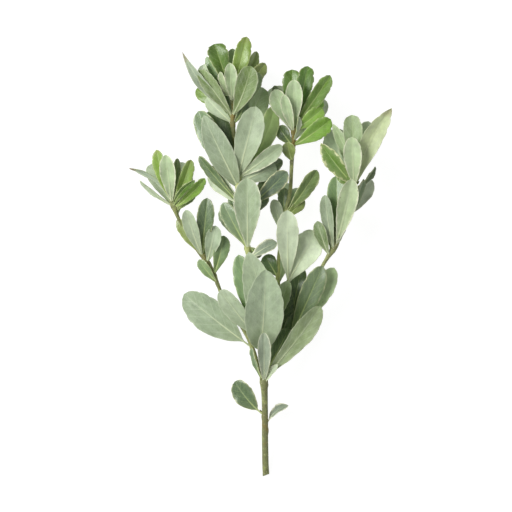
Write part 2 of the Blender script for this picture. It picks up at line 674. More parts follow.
# %% The relief of a leaf
BLADE_THICKNESS = 0.75
RIM_ROUNDNESS = 6
TIP_THINNING = 0.8
TIP_ROUNDNESS = 24
RIB_HEIGHT = 0.9
RIB_WIDTH = 0.75
RIB_END = 0.35
RIB_THINNING = 0.8
GROOVE_DEPTH = 0.16
STALK_SHARE = 0.14
VEIN_PAIRS = 7.0
VEIN_SLANT = 0.28
VEIN_SIDE_SHIFT = 0.5
VEIN_LEAF_SHIFT = 0.37
VEIN_SHARPNESS = 6
VEIN_HEIGHT = 0.09


def leaf_relief(leaf, number, t, s, half, share):
    """Heights of the underside and the upper face over the middle surface, and where rib and veins are.

    Both faces: half the thickness times sqrt(1 - s ** 6), with a round end at the tip. Rib: a bell curve
    across the leaf that thins towards the tip. Veins: a cosine of their phase, made sharp by a power. They
    stand out below and lie in grooves above.
    """
    from_rib = np.abs(s) * half / (RIB_WIDTH * (1 - t) + RIB_END)
    rib = np.exp(-(from_rib**2)) * np.sqrt(1 - s**2) * (1 - t) ** RIB_THINNING
    stalk = np.clip(1 - t / STALK_SHARE, 0, 1) ** 0.5
    phase = VEIN_PAIRS * (t - VEIN_SLANT * np.abs(s) * half / leaf.width * 2)
    phase = phase + VEIN_SIDE_SHIFT * (s > 0) + VEIN_LEAF_SHIFT * number
    vein = (0.5 + 0.5 * np.cos(2 * np.pi * phase)) ** VEIN_SHARPNESS * (1 - s**RIM_ROUNDNESS) * share
    plain = BLADE_THICKNESS / 2 * np.sqrt(1 - s**RIM_ROUNDNESS) * np.sqrt(1 - TIP_THINNING * t**TIP_ROUNDNESS)
    under = plain + RIB_HEIGHT * rib + VEIN_HEIGHT * vein
    upper = plain + (RIB_HEIGHT * stalk - GROOVE_DEPTH * (1 - stalk)) * rib - VEIN_HEIGHT / 2 * vein
    return under, upper, from_rib, phase


print("thickness in mm of the blade", BLADE_THICKNESS, "and of its midrib", BLADE_THICKNESS + RIB_HEIGHT)

# %% A leaf as a closed surface
RIM_CURL = 0.6
LONG_LEAF = 58.0
LONG_ROWS = 40
SHORT_ROWS = 28
HALF_COLUMNS = 10
RING_POINTS = 4 * HALF_COLUMNS
RIB_CROWDING = 1.3
RIM_CROWDING = 1.1
TIP_CROWDING = 1.6
# Metres between the patches of pattern that two leaves read, so that no two are twins
PATTERN_PITCH = 0.2


def columns():
    """s at each column: sin(pi / 2 * |w| ** 1.3) ** 1.1 with the sign of w, close together at rib and rim."""
    w = np.linspace(-1, 1, 2 * HALF_COLUMNS + 1)
    return np.sign(w) * np.sin(np.pi / 2 * np.abs(w) ** RIB_CROWDING) ** RIM_CROWDING


def surface_normals(points):
    """Unit normals of a grid of points: the cross product of its directions across and along."""
    across = np.gradient(points, axis=1)
    along = np.gradient(points, axis=0)
    normal = np.cross(across, along)
    return normal / np.maximum(np.linalg.norm(normal, axis=-1, keepdims=True), 1e-9)


def leaf_surface(leaf, root, number):
    """Rings round the leaf from root to tip, what its material reads at each point, and t there.

    A ring runs over the face that is up, from s = 1 to s = -1, and back along the other face. Each face is
    the middle surface moved along its normal by the face's own height.
    """
    finish = FINISHES[leaf.finish]
    rows = LONG_ROWS if math.dist(root[:2], leaf.tip[:2]) > LONG_LEAF else SHORT_ROWS
    t = 1 - (1 - np.linspace(0, 1, rows)) ** TIP_CROWDING
    s = columns()
    rim_lift = RIM_CURL if finish.under_up else -RIM_CURL
    points, half, share, length = leaf_middle(leaf, root, number, t, s, rim_lift)
    normal = surface_normals(points)
    t = t[:, None]
    under, upper, from_rib, phase = leaf_relief(leaf, number, t, s, half, share)
    top, low = (under, upper) if finish.under_up else (upper, under)
    over = points + top[..., None] * normal
    below = points - low[..., None] * normal
    rings = np.concatenate([over[:, ::-1], below[:, 1:-1]], axis=1)
    rings[..., 2] = np.maximum(rings[..., 2], FLOOR_CLEARANCE - BLADE_THICKNESS / 2)

    def around(values):
        whole = np.broadcast_to(values, half.shape)
        return np.concatenate([whole[:, ::-1], whole[:, 1:-1]], axis=1)

    across = around(s * half * MM)
    from_rim = around((1 - np.abs(s)) * half / finish.cream)
    fields = {
        "on_blade": (across, around(t * length * MM), np.full(across.shape, number * PATTERN_PITCH)),
        "marks": (around(from_rib), from_rim, around(phase)),
    }
    return rings, {name: np.stack(values, axis=-1) for name, values in fields.items()}, around(t)


print("rings and points of the largest leaf", leaf_surface(largest, largest_root, 0)[0].shape[:2])

# %% [markdown]
# ## From rings to a mesh
#
# Leaves and stems are both stacks of rings, so one function joins them: a quad between each two points of
# neighbouring rings, and at both ends a strip of faces that closes the ring across, point to facing point.
# A fan round a middle point would close it too, but its thin triangles would pinch a flat leaf's tip. All the
# leaves of a stem go into one mesh, because they are one kind of piece and share their materials.

# %% Ring and mesh helpers
def ring_faces(rows, around, start):
    """Quads between rings and strips across both ends, as index arrays. Points start at this index."""
    row, column = np.meshgrid(np.arange(rows - 1), np.arange(around), indexing="ij")
    here = start + row * around + column
    beside = start + row * around + (column + 1) % around
    quads = np.stack([here, here + around, beside + around, beside], axis=-1).reshape(-1, 4)
    pair = np.arange(around // 2)
    strip = np.stack([pair, pair + 1, -pair - 1, -pair], axis=-1) % around
    last = start + (rows - 1) * around + strip[:, ::-1]
    first = start + strip
    return np.concatenate([quads, first, last])


def mesh_object(name, points, faces, material_of_face):
    """An object from points in metres and faces of four corners, where a repeated corner is left out."""
    mesh = bpy.data.meshes.new(name)
    loose = faces != np.roll(faces, 1, axis=1)
    corners = faces[loose]
    sizes = loose.sum(axis=1)
    mesh.vertices.add(len(points))
    mesh.vertices.foreach_set("co", points.ravel())
    mesh.loops.add(len(corners))
    mesh.loops.foreach_set("vertex_index", corners)
    mesh.polygons.add(len(faces))
    mesh.polygons.foreach_set("loop_start", np.concatenate([[0], np.cumsum(sizes)[:-1]]))
    mesh.polygons.foreach_set("loop_total", sizes)
    mesh.polygons.foreach_set("material_index", material_of_face)
    mesh.update(calc_edges=True)
    mesh.validate()
    mesh.shade_smooth()
    print(name, "triangles", int((sizes - 2).sum()))
    return placed(name, mesh)


def give(mesh, name, values, kind="FLOAT_VECTOR"):
    """Writes one value for each vertex into an attribute that a material can read."""
    attribute = mesh.attributes.new(name, kind, "POINT")
    attribute.data.foreach_set("color" if kind == "FLOAT_COLOR" else "vector", values.ravel())


print("faces of a large leaf", len(ring_faces(LONG_ROWS, RING_POINTS, 0)))

# %% [markdown]
# ## The leaves of each stem
#
# No two leaves of a shrub have one colour: they differ in age and in how much sun they had. Each leaf takes
# its colours from its finish, then a seeded draw makes it a little lighter or darker. A material for each
# leaf could carry them, but that is 133 materials. So the colours go onto the mesh as attributes, and a
# leaf's faces take the matt or the glossy material by the side that they are on.

# %% Leaf meshes
TINT_SPREAD = 0.09
TINT_SEED = 11
# The numbers of a leaf's two materials
MATT, GLOSSY = 0, 1


def leaves_object(stem):
    """All the leaves of one stem as one mesh of closed blades."""
    draw = np.random.default_rng(TINT_SEED + len(stem))
    points, faces, sides = [], [], []
    fields = {"on_blade": [], "marks": [], "draw": [], "wear": [], "under_tint": [], "upper_tint": []}
    count = 0
    for number, leaf, root in leaves_of(stem):
        finish = FINISHES[leaf.finish]
        rings, values, along = leaf_surface(leaf, root, number)
        size = along.size
        leaf_faces = ring_faces(len(rings), RING_POINTS, count)
        on_top = (leaf_faces[:, 0] - count) % RING_POINTS < RING_POINTS // 2
        points.append(rings.reshape(-1, 3))
        faces.append(leaf_faces)
        sides.append(np.where(on_top == finish.under_up, MATT, GLOSSY))
        gain = 1 + draw.uniform(-TINT_SPREAD, TINT_SPREAD)
        luck, share = np.full(size, draw.uniform()), np.full(size, finish.cream_share)
        values["draw"] = np.stack([along.ravel(), luck, share], axis=-1)
        values["wear"] = np.tile((finish.dry, 0.0, 0.0), (size, 1))
        values["under_tint"] = np.tile(linear(finish.under, gain), (size, 1))
        values["upper_tint"] = np.tile(linear(finish.upper, gain), (size, 1))
        for name, value in values.items():
            fields[name].append(value.reshape(size, -1))
        count += size
    made = mesh_object(
        f"{stem}_leaves", np.concatenate(points) * MM, np.concatenate(faces), np.concatenate(sides)
    )
    for name, values in fields.items():
        kind = "FLOAT_COLOR" if name.endswith("tint") else "FLOAT_VECTOR"
        give(made.data, name, np.concatenate(values), kind)
    return made


# %% [markdown]
# ## A material as a graph of nodes
#
# A leaf's colour could come from a painted picture, but then all leaves would be twins. Here every mark is a
# pattern that a graph of nodes works out at each point. One function adds a node, sets its properties and
# joins its inputs, by name or by number. Inputs 1 to 4 of a Map Range are the range that it reads and the
# range that it gives. Inputs 0, 6 and 7 of a Mix are the share, the colour below and the colour on top, and
# its output 2 is the mixed colour.

# %% Node helpers
def add(tree, kind, inputs=None, **settings):
    """Adds a shader node. Settings are its properties; inputs are values or other nodes' outputs."""
    made = tree.nodes.new("ShaderNode" + kind)
    for name, value in settings.items():
        setattr(made, name, value)
    for name, value in (inputs or {}).items():
        if isinstance(value, bpy.types.NodeSocket):
            tree.links.new(value, made.inputs[name])
        else:
            made.inputs[name].default_value = value
    return made


def per_metre(size):
    """The scale that makes one feature of a texture this many millimetres wide."""
    return 1000.0 / size


print("a pattern 9 mm wide has the scale", round(per_metre(9), 1))

# %% [markdown]
# ## What a leaf is made of
#
# Under a leaf's waxy skin is soft green tissue, and veins run through it. On the underside the wax is matt
# and makes the green greyer. On the upper face it is smooth and shows highlights. The margin has no green in
# it, so it is cream, with an uneven inner border. All of this follows the blade, so the patterns don't read
# the leaf's place in space but the attributes of its mesh.

# %% What the mesh tells the material
CLOUD_SIZE = 9.0
BLADE_FIELDS = {
    # attribute: what its numbers are
    "marks": ("rib", "rim", "phase"),
    "draw": ("along", "luck", "cream_share"),
    "wear": ("dry",),
}


def read_blade(tree):
    """What the mesh says at each point, by name, and soft clouds 9 mm across that several layers share.

    place is metres across and along the blade, rib and rim are distances from them in widths of the rib and
    of the margin, phase counts the veins, and along runs from 0 at the root to 1 at the tip.
    """
    at = {"place": add(tree, "Attribute", attribute_name="on_blade").outputs["Vector"]}
    for field, names in BLADE_FIELDS.items():
        vector = add(tree, "Attribute", attribute_name=field).outputs["Vector"]
        at.update(zip(names, add(tree, "SeparateXYZ", {"Vector": vector}).outputs))
    clouds = {"Vector": at["place"], "Scale": per_metre(CLOUD_SIZE), "Detail": 4.0, "Roughness": 0.6}
    at["cloud"] = add(tree, "TexNoise", clouds).outputs[0]
    return at


print("the mesh gives place and", [name for names in BLADE_FIELDS.values() for name in names])

# %% [markdown]
# The colour is laid up like coats of paint. First comes the tissue, and then each layer says what share of
# it shows at a point, from 0 to 1. The first layers are the bloom, a pale wax that lies in streaks, and the
# yellow of the youngest tissue, towards the root.

# %% Tissue, bloom and young tissue
STREAK_WIDTH = 4.0
STREAK_LENGTH = 22.0


def tissue_colour(tree, at, tint):
    """Tissue in the leaf's own tint, lighter and darker in clouds, its hue moved a little by luck."""
    value = add(tree, "MapRange", {"Value": at["cloud"], 1: 0.3, 2: 0.7, 3: 0.84, 4: 1.2}).outputs[0]
    hue = add(tree, "MapRange", {"Value": at["luck"], 3: 0.49, 4: 0.508}).outputs[0]
    own = add(tree, "Attribute", attribute_name=tint).outputs["Color"]
    return add(tree, "HueSaturation", {"Hue": hue, "Value": value, "Color": own}).outputs[0]


def bloom(tree, at, strength):
    """Streaks of pale wax, long noise that shows where it passes 0.42."""
    stretch = (per_metre(STREAK_WIDTH), per_metre(STREAK_LENGTH), 1.0)
    drawn = add(tree, "VectorMath", {0: at["place"], 1: stretch}, operation="MULTIPLY").outputs[0]
    wax = add(tree, "TexNoise", {"Vector": drawn, "Scale": 1.0, "Detail": 3.0}).outputs[0]
    return add(tree, "MapRange", {"Value": wax, 1: 0.42, 2: 0.75, 3: 0.0, 4: strength}).outputs[0]


def youth(tree, at):
    """0.4 at the root and nothing past 0.55 of the length."""
    return add(tree, "MapRange", {"Value": at["along"], 1: 0.0, 2: 0.55, 3: 0.4, 4: 0.0}).outputs[0]


print("scale of the streaks across and along", per_metre(STREAK_WIDTH), round(per_metre(STREAK_LENGTH), 1))

# %% [markdown]
# Veins come in three sizes. The finest are a net, and the borders between Voronoi cells look like one. A side
# vein is a line wherever the phase, which the mesh carries, passes a whole number. The midrib is where the
# distance from it is small, and it is palest at the root.

# %% Veins
NET_CELL = 2.2


def vein_net(tree, at):
    """Lines between Voronoi cells 2.2 mm wide."""
    cells = {"Vector": at["place"], "Scale": per_metre(NET_CELL)}
    edge = add(tree, "TexVoronoi", cells, feature="DISTANCE_TO_EDGE").outputs[0]
    return add(tree, "MapRange", {"Value": edge, 1: 0.03, 2: 0.16, 3: 1.0, 4: 0.0}).outputs[0]


def side_veins(tree, at, strength):
    """Lines where the phase is whole, times a share that goes to nothing near the rim."""
    line = add(tree, "Math", {0: at["phase"], 1: 0.5}, operation="PINGPONG").outputs[0]
    line = add(tree, "MapRange", {"Value": line, 1: 0.01, 2: 0.075, 3: 1.0, 4: 0.0}).outputs[0]
    inside = add(tree, "MapRange", {"Value": at["rim"], 1: 0.8, 2: 5.0, 3: 0.0, 4: strength}).outputs[0]
    return add(tree, "Math", {0: line, 1: inside}, operation="MULTIPLY").outputs[0]


def midrib(tree, at, strength):
    """A soft band along the rib, times a share that fades from root to tip."""
    across = {"Value": at["rib"], 1: 0.45, 2: 1.4, 3: 1.0, 4: 0.0}
    ridge = add(tree, "MapRange", across, interpolation_type="SMOOTHSTEP").outputs[0]
    fade = add(tree, "MapRange", {"Value": at["along"], 1: 0.1, 2: 0.95, 3: strength, 4: 0.1}).outputs[0]
    return add(tree, "Math", {0: ridge, 1: fade}, operation="MULTIPLY").outputs[0]


print("cells of the net across the largest leaf", round(largest.width / NET_CELL))

# %% [markdown]
# The other layers are the cream margin, which varies from leaf to leaf, and what age and weather leave: brown
# specks, and a tip that dries from its end. A clean border would look printed, so noise is added to the
# distance from the rim and to the place along the leaf, and margin and dried tip end unevenly.

# %% Margin, specks and dried tip
BORDER_SIZE = 5.0
SPECK_PITCH = 9.0
SPECK_RADIUS = 0.09


def cream_margin(tree, at):
    """Full where the distance from the rim is under a wandering limit, with a faint halo inside it."""
    wander = {"Vector": at["place"], "Scale": per_metre(BORDER_SIZE), "Detail": 3.0}
    limit = add(tree, "TexNoise", wander).outputs[0]
    limit = add(tree, "MapRange", {"Value": limit, 1: 0.32, 2: 0.68, 3: 0.1, 4: 1.5}).outputs[0]
    past = add(tree, "Math", {0: limit, 1: at["rim"]}, operation="SUBTRACT").outputs[0]
    full = add(tree, "MapRange", {"Value": past, 1: -0.25, 2: 0.2}).outputs[0]
    halo = add(tree, "MapRange", {"Value": past, 1: -2.5, 2: 0.0, 3: 0.0, 4: 0.2}).outputs[0]
    margin = add(tree, "Math", {0: full, 1: halo}, operation="MAXIMUM").outputs[0]
    return add(tree, "Math", {0: margin, 1: at["cream_share"]}, operation="MULTIPLY").outputs[0]


def specks(tree, at):
    """Round spots at the middle of some Voronoi cells: the cell's own colour draws its spot's size."""
    cells = add(tree, "TexVoronoi", {"Vector": at["place"], "Scale": per_metre(SPECK_PITCH)})
    chosen = add(tree, "SeparateColor", {"Color": cells.outputs["Color"]}).outputs[0]
    size = add(tree, "MapRange", {"Value": chosen, 1: 0.55, 2: 1.0, 3: 0.0, 4: SPECK_RADIUS}).outputs[0]
    spot = add(tree, "Math", {0: cells.outputs[0], 1: size}, operation="LESS_THAN").outputs[0]
    return add(tree, "Math", {0: spot, 1: 0.45}, operation="MULTIPLY").outputs[0]


def dried_tip(tree, at):
    """Starts where 0.35 * cloud + along passes 1.04, times how dry this leaf's finish is."""
    worn = add(tree, "Math", {0: at["cloud"], 1: 0.35, 2: at["along"]}, operation="MULTIPLY_ADD").outputs[0]
    dried = add(tree, "MapRange", {"Value": worn, 1: 1.04, 2: 1.16}).outputs[0]
    return add(tree, "Math", {0: dried, 1: at["dry"]}, operation="MULTIPLY").outputs[0]


print("largest speck in mm", round(2 * SPECK_RADIUS * SPECK_PITCH, 1))

# %% [markdown]
# The two sides of a leaf have the same layers in other colours and strengths, so one function makes both
# from a list of these. Gloss comes from the wax: a rough skin spreads highlights wide, and a thin clear coat
# gives the upper face its small sharp ones. Relief that is too fine for the mesh is left to a bump.

# %% The two skins of a leaf
SKIN_GRAIN = 0.8
NET_RELIEF = -0.6
WAX_IOR = 1.45
COAT_ROUGHNESS = 0.14
WAX_BLOOM = "#dbe6d0"
SPECK_BROWN = "#6d6a3f"
HUSK_BROWN = "#8a7a55"


@dataclass
class Skin:
    """One side of the leaves: its tint attribute, the colours and strengths of its layers, and its gloss."""

    tint: str
    rib: str
    vein: str
    cream: str
    young: str
    rib_share: float
    bloom_share: float
    roughness: tuple
    coat: float
    relief: float
    vein_share: float = 0.3
    net_share: float = 0.12


def leaf_skin(name, skin):
    """The material of one side: layers of colour over the tissue, gloss from the wax, and fine relief."""
    made, tree, shader = new_material(name)
    at = read_blade(tree)
    colour = tissue_colour(tree, at, skin.tint)
    net = vein_net(tree, at)
    layers = (
        (bloom(tree, at, skin.bloom_share), WAX_BLOOM),
        (youth(tree, at), skin.young),
        (add(tree, "Math", {0: net, 1: skin.net_share}, operation="MULTIPLY").outputs[0], skin.vein),
        (side_veins(tree, at, skin.vein_share), skin.vein),
        (cream_margin(tree, at), skin.cream),
        (midrib(tree, at, skin.rib_share), skin.rib),
        (specks(tree, at), SPECK_BROWN),
        (dried_tip(tree, at), HUSK_BROWN),
    )
    for share, over in layers:
        colour = add(tree, "Mix", {0: share, 6: colour, 7: linear(over)}, data_type="RGBA").outputs[2]
    tree.links.new(colour, shader.inputs["Base Color"])
    low, high = skin.roughness
    gloss = add(tree, "MapRange", {"Value": at["cloud"], 1: 0.3, 2: 0.7, 3: low, 4: high})
    tree.links.new(gloss.outputs[0], shader.inputs["Roughness"])
    shader.inputs["IOR"].default_value = WAX_IOR
    shader.inputs["Coat Weight"].default_value = skin.coat
    shader.inputs["Coat Roughness"].default_value = COAT_ROUGHNESS
    # The skin's grain, and the net sunk into it
    grain = add(tree, "TexNoise", {"Vector": at["place"], "Scale": per_metre(SKIN_GRAIN), "Detail": 2.0})
    height = add(tree, "Math", {0: net, 1: NET_RELIEF, 2: grain.outputs[0]}, operation="MULTIPLY_ADD")
    bump = add(tree, "Bump", {"Height": height.outputs[0], "Distance": skin.relief * MM})
    tree.links.new(bump.outputs[0], shader.inputs["Normal"])
    return made


MATT_SIDE = Skin(
    tint="under_tint", rib="#d3dcb2", vein="#c3d0af", cream="#ebebcf", young="#a9b58a",
    rib_share=0.95, bloom_share=0.2, roughness=(0.42, 0.58), coat=0.0, relief=0.1,
)
GLOSSY_SIDE = Skin(
    tint="upper_tint", rib="#c6d68e", vein="#a9bf7c", cream="#e6e6b4", young="#86974f",
    rib_share=0.8, bloom_share=0.1, roughness=(0.28, 0.4), coat=0.2, relief=0.07,
)
# Leaf wax, left rough: it spreads highlights wide and greys the green
matt_waxy_underside = leaf_skin("matt_waxy_underside", MATT_SIDE)
# Leaf wax, smooth: small white highlights over a deeper green
glossy_upper_face = leaf_skin("glossy_upper_face", GLOSSY_SIDE)
print("leaf materials", matt_waxy_underside.name, glossy_upper_face.name)

# %% Leaves in place
for stem in PLACED_LEAVES:
    leaves = leaves_object(stem)
    leaves.data.materials.append(matt_waxy_underside)
    leaves.data.materials.append(glossy_upper_face)
    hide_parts(stem)
    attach(leaves, "root")

# %% [markdown]
# ## The wood
#
# The stems are the growth of one or two seasons. Each has a fine lengthwise grain, a cushion where each leaf
# stands, and ring scars at each whorl, where last season's bud scales fell. A bevelled curve gives a tube,
# but neither cushions nor a cut end, so the stem is a circle carried along a smooth line through the plan's
# points, with a radius that depends on the place along it and the angle round it.

# %% A smooth line and the directions across it
STEP = 1.2


def smooth_line(line):
    """A Catmull-Rom curve through the points, sampled every STEP mm.

    Between b and c, with neighbours a and d: half of 2b + (c - a)u + (2a - 5b + 4c - d)u^2 +
    (3b - a - 3c + d)u^3, for u from 0 to 1.
    """
    padded = np.concatenate([[2 * line[0] - line[1]], line, [2 * line[-1] - line[-2]]])
    length = np.concatenate([[0], np.cumsum(np.linalg.norm(np.diff(line[:, :3], axis=0), axis=1))])
    place = np.linspace(0, length[-1], int(length[-1] / STEP) + 1)
    span = np.clip(np.searchsorted(length, place, side="right") - 1, 0, len(line) - 2)
    u = ((place - length[span]) / (length[span + 1] - length[span]))[:, None]
    a, b, c, d = (padded[span + shift] for shift in range(4))
    curve = 2 * b + (c - a) * u + (2 * a - 5 * b + 4 * c - d) * u**2 + (3 * b - a - 3 * c + d) * u**3
    return curve / 2, place


def ring_axes(points):
    """Two directions across a line at each of its points: level, and above."""
    along = np.gradient(points, axis=0)
    along /= np.linalg.norm(along, axis=1, keepdims=True)
    level = np.cross(along, (0.0, 0.0, 1.0))
    level /= np.linalg.norm(level, axis=1, keepdims=True)
    return level, np.cross(level, along)


print("points along the main stem", len(smooth_line(lines["main_stem"])[1]))

# %% A stem as a carried circle
AROUND = 24
RIDGES = 7
RIDGE_HEIGHT = 0.09
RIDGE_TWIST = 11
LUMPS = 3
LUMP_HEIGHT = 0.05
LUMP_TWIST = 5
CUSHION_HEIGHT = 0.7
CUSHION_LENGTH = 3.0
CUSHION_DROP = 1
SCAR_HEIGHT = 0.16
SCAR_PITCH = 1.5
SCAR_LENGTH = 5.0
SCAR_WANDER = 0.6
TIP_LENGTH = 5.0
TIP_END = 0.995


def stem_surface(line, cushions=(), whorls=(), pointed=False):
    """Rings along a stem, its place for the bark, how scarred it is, and its centre line.

    Radius = the line's own, plus shallow ridges and lumps, cosines of a count * angle with a slow twist, plus
    a bell-shaped cushion below each leaf on the leaf's side, plus ring scars, sin(place) inside a bell round
    each whorl. A pointed end shrinks as sqrt(1 - u ** 2) over its last TIP_LENGTH mm.
    """
    curve, place = smooth_line(line)
    points, radius = curve[:, :3], curve[:, 3:]
    place = place[:, None]
    level, above = ring_axes(points)
    angle = np.linspace(0, 2 * np.pi, AROUND, endpoint=False)[None, :]
    ridges = RIDGE_HEIGHT * np.cos(RIDGES * angle + place / RIDGE_TWIST)
    grown = ridges + LUMP_HEIGHT * np.cos(LUMPS * angle - place / LUMP_TWIST)
    scar = np.zeros((len(place), AROUND))
    for y, direction in cushions:
        turn = np.arctan2(direction @ above.T, direction @ level.T)[:, None]
        near = np.exp(-(((points[:, 1:2] - y + CUSHION_DROP) / CUSHION_LENGTH) ** 2))
        grown = grown + CUSHION_HEIGHT * near * np.maximum(np.cos(angle - turn), 0) ** 2
    for y in whorls:
        near = np.exp(-(((points[:, 1:2] - y) / SCAR_LENGTH) ** 2))
        wander = np.cos(angle) + SCAR_WANDER * np.cos(2 * angle)
        rings = 0.5 + 0.5 * np.sin(2 * np.pi * place / SCAR_PITCH + wander)
        grown = grown + SCAR_HEIGHT * near * rings
        scar = np.maximum(scar, near * (0.4 + 0.6 * rings))
    radius = radius + grown
    if pointed:
        u = np.clip(1 - (place[-1] - place) / TIP_LENGTH, 0, TIP_END)
        radius = radius * np.sqrt(1 - u**2)
    rings = (
        points[:, None]
        + (radius * np.cos(angle))[..., None] * level[:, None]
        + (radius * np.sin(angle))[..., None] * above[:, None]
    )
    round_it = angle * line[:, 3].mean() * MM
    on_bark = np.stack(np.broadcast_arrays(round_it, place * MM, np.zeros_like(radius)), axis=-1)
    return rings, on_bark, scar, points


print("rings and points of the main stem", stem_surface(lines["main_stem"])[0].shape[:2])

# %% [markdown]
# Small parts grow on the stems too: the short stubs on the fork that carry the shoots, and a bud in the angle
# above some leaves. Each is one more carried circle with its own short line, so nothing new has to be made.
# The lower end is cut with one slanting stroke. A Boolean would slice it, but leaning the last rings gives
# the same face and keeps the mesh in order.

# %% Cushions, stubs, buds and the slanting cut
BUD_SEED = 5
BUD_EVERY = 3
BUD_STEP = 2.5
BUD_LENGTH = 4.6
BUD_SPREAD = 0.2
BUD_LEAN = 0.6
BUD_DEPTH = 0.5
BUD_RADII = (0.9, 1.25, 0.7)
SEAT_LENGTH = 8.0
SEAT_OVERLAP = 1.5
SEAT_TAPER = 0.94
FORK_RADIUS = 3.4
CUT_SLOPE = 0.35
CUT_LEAN = 0.3
CUT_REACH = 8.0
CUT_CLEARANCE = 0.02


def leaf_directions(stem):
    """For each leaf of a stem, the y of its root and the direction that it sets out in."""
    return [(root[1], leaf_axes(leaf, root)[1]) for _, leaf, root in leaves_of(stem)]


def seat_line(shoot):
    """The stub on the fork that carries a shoot: from inside the fork to just inside the shoot's base."""
    start = shoot[0]
    along = shoot[1, :3] - start[:3]
    along /= np.linalg.norm(along)
    back = start[:3] - SEAT_LENGTH * along
    face = start[:3] + SEAT_OVERLAP * along
    return np.array([(*FORK, FORK_RADIUS), (*back, start[3]), (*face, start[3] * SEAT_TAPER)])


def bud_lines(stem):
    """Buds in the angle above leaf stalks: three points each, from inside the stem outward and forward."""
    draw = np.random.default_rng(BUD_SEED + len(stem))
    made = []
    for number, leaf, root in leaves_of(stem):
        if number % BUD_EVERY or number >= PAIR_NUMBER:
            continue
        centre, along = at_height(lines[stem], leaf.root_y + BUD_STEP)
        radius = np.interp(centre[1], lines[stem][:, 1], lines[stem][:, 3])
        forward = leaf_axes(leaf, root)[1]
        side = forward - along * (forward @ along)
        side /= np.linalg.norm(side)
        reach = BUD_LENGTH * draw.uniform(1 - BUD_SPREAD, 1 + BUD_SPREAD)
        way = (along + BUD_LEAN * side) / np.linalg.norm(along + BUD_LEAN * side)
        start = centre + (radius - BUD_DEPTH) * side
        points = (start, start + way * reach * 0.5, start + way * reach)
        made.append(np.array([(*point, thick) for point, thick in zip(points, BUD_RADII)]))
    return made


def slanted(rings):
    """Leans the cut face: points near the cut move along the stem by their offset across and above it."""
    x, y, z, radius = MAIN_WOOD[0]
    near = np.clip(1 - (rings[..., 1] - y) / CUT_REACH, 0, 1)
    moved = rings.copy()
    moved[..., 1] += near * (CUT_SLOPE * (rings[..., 0] - x) + CUT_LEAN * (rings[..., 2] - z + radius))
    moved[..., 2] = np.maximum(moved[..., 2], CUT_CLEARANCE)
    return moved


print("buds", {stem: len(bud_lines(stem)) for stem in PLACED_LEAVES})

# %% [markdown]
# One stem, its stubs and its buds become one mesh, as a stem's leaves do. The bark looks older or younger
# along it, so the mesh carries an age, read from a short table for each stem.

# %% Wood meshes
WHORLS = {
    "main_stem": (-186.0, -140.0),
    "left_shoot": (-104.0, 0.0, 58.0),
    "tall_shoot": (-100.0, 10.0, 84.0, 165.0),
    "middle_shoot": (-80.0, 46.0, 128.0),
    "right_shoot": (-98.0, 10.0, 80.0),
    "pair_twig": (-30.0,),
}
AGES = {
    # y against how old the bark looks there, from 0, yellow-green, to 1, olive-tan, to 2, brown
    "main_stem": ((-245, 0.85), (-200, 0.9), (-180, 1.1), (-160, 0.8), (-128, 0.7)),
    "left_shoot": ((-110, 0.7), (-30, 0.7), (10, 1.0), (70, 0.6)),
    "tall_shoot": (
        (-111, 0.7), (-30, 0.4), (-10, -0.2), (15, 0.1), (60, 0.2),
        (80, -0.2), (115, 0.5), (160, 1.5), (184, 0.8),
    ),
    "middle_shoot": ((-110, 0.5), (-20, 0.2), (30, 0.1), (60, 0.6), (105, 0.8), (135, 1.6), (150, 1.2)),
    "right_shoot": ((-110, 0.7), (0, 0.6), (60, 0.7), (90, 0.6)),
    "pair_twig": ((-60, 0.6), (-20, 0.6)),
}
# The numbers of the wood's two materials
BARK, CUT_FACE = 0, 1


def wood_object(name, parts):
    """One mesh of wood from stem surfaces, with the place, age and scars that the bark reads."""
    points, faces, places, marks = [], [], [], []
    count = 0
    for number, (stem, line, cushions, pointed) in enumerate(parts):
        rings, on_bark, scar, centre = stem_surface(line, cushions, WHORLS[stem], pointed)
        if line is lines["main_stem"]:
            rings = slanted(rings)
        age = np.interp(centre[:, 1], *np.array(AGES[stem]).T)[:, None]
        on_bark[..., 2] = number * PATTERN_PITCH
        faces.append(ring_faces(len(rings), AROUND, count))
        points.append(rings.reshape(-1, 3))
        places.append(on_bark.reshape(-1, 3))
        marks.append(np.stack(np.broadcast_arrays(age, scar, 0 * scar), axis=-1).reshape(-1, 3))
        count += scar.size
    faces = np.concatenate(faces)
    is_cut = (faces < AROUND).all(axis=1) & (name == "main_stem_wood")
    made = mesh_object(name, np.concatenate(points) * MM, faces, np.where(is_cut, CUT_FACE, BARK))
    give(made.data, "on_bark", np.concatenate(places))
    give(made.data, "bark_marks", np.concatenate(marks))
    return made


print("whorls", {stem: len(heights) for stem, heights in WHORLS.items()})

# %% [markdown]
# ## Bark
#
# The bark is young: a thin skin, green beneath, that dries to olive and tan on the older wood and breaks into
# fine lengthwise lines. Small pale pores, the lenticels, dot it. So its colour depends on an age that changes
# along the stem, and its patterns are stretched along it: the noise reads a place that is scaled much more
# round the stem than along it. Wood grain with its rings would be wrong here, as only the inside has that.

# %% Bark
LINE_WIDTH = 0.5
LINE_LENGTH = 9.0
PATCH_SIZE = 7.0
PORE_PITCH = 2.6
PORE_COLOUR = "#c9c29a"
BARK_RELIEF = 0.25
BARK_AGES = ((0.0, "#c3cd86"), (0.25, "#a5ad68"), (0.48, "#7b8153"), (0.75, "#8b7d42"), (1.0, "#776530"))


def colour_ramp(tree, value, stops):
    """Colours over a value, from pairs of place and hex colour, blended in between."""
    ramp = add(tree, "ValToRGB", {"Fac": value})
    for index, (place, code) in enumerate(stops):
        element = ramp.color_ramp.elements[index] if index < 2 else ramp.color_ramp.elements.new(place)
        element.position = place
        element.color = linear(code)
    return ramp.outputs[0]


